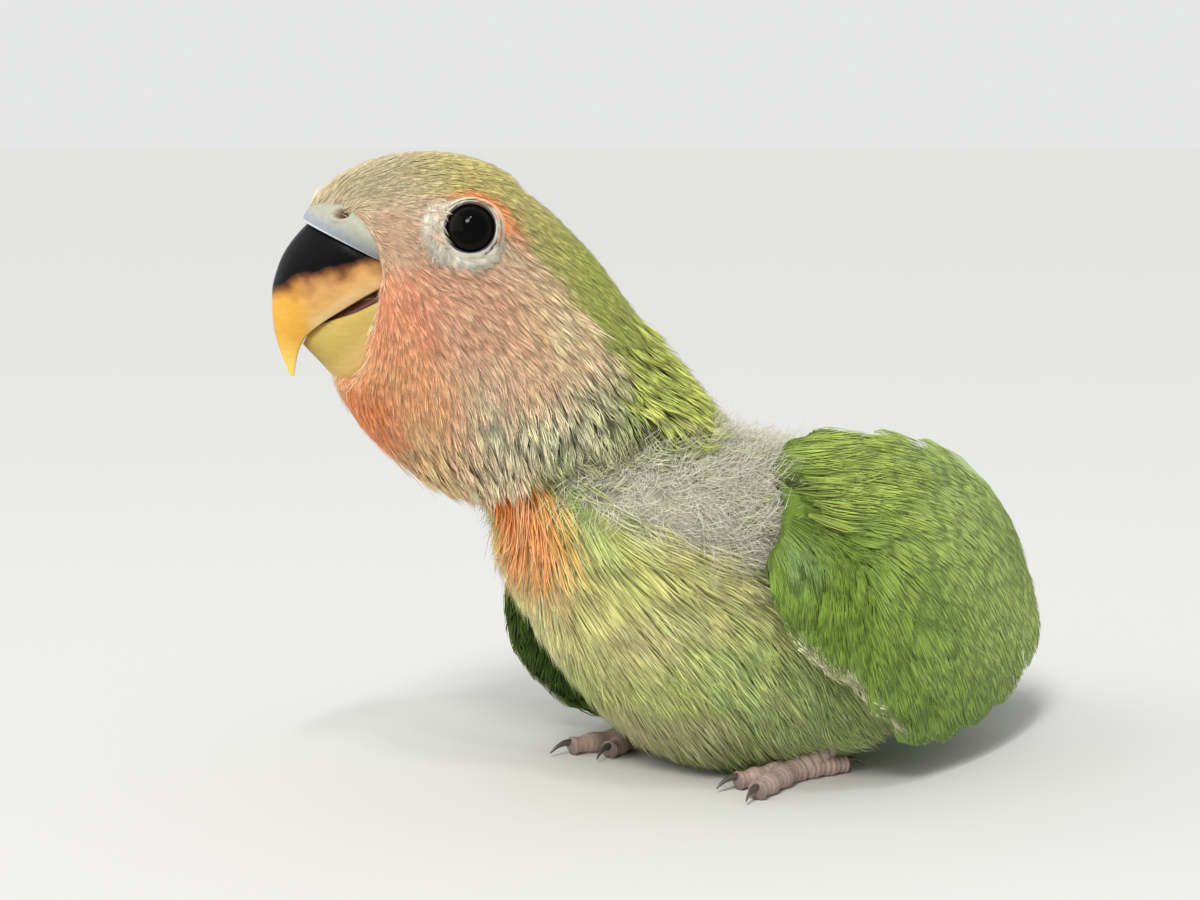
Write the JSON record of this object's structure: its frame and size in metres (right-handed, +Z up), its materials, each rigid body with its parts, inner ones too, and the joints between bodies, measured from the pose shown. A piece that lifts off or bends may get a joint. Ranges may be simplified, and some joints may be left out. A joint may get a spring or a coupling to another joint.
{
  "type": "peach faced lovebird chick",
  "caption": "Life-size lovebird chick crouched on its belly, wings half drooped, head up and turned to its right.",
  "frame": {"origin": "on the floor under the middle of the bird's box", "axes": "the breast faces -Y, the bird's left is +X, up is +Z"},
  "size_m": [0.0482, 0.0924, 0.0646],
  "materials": {
    "head_plumage": "soft peach and olive down and pin feathers",
    "hood_plumage": "cream and green pin feathers",
    "body_plumage": "yellow green contour feathers over grey down",
    "flight_feathers": "smooth green vanes",
    "tail_feathers": "smooth green vanes",
    "foot_skin": "scaly grey pink skin",
    "bill_horn": "polished horn, black at the root",
    "cere_skin": "smooth pale skin",
    "eye": "wet and dark"
  },
  "bodies": {
    "root": {"head": "head_plumage", "neck": "hood_plumage", "torso": "body_plumage", "leg_left": "body_plumage", "leg_right": "body_plumage", "wing_left": "flight_feathers", "wing_right": "flight_feathers", "tail": "tail_feathers", "foot_left": "foot_skin", "foot_right": "foot_skin", "beak_upper": "bill_horn", "beak_lower": "bill_horn", "cere": "cere_skin", "eye_left": "eye", "eye_right": "eye"}
  },
  "joints": []
}
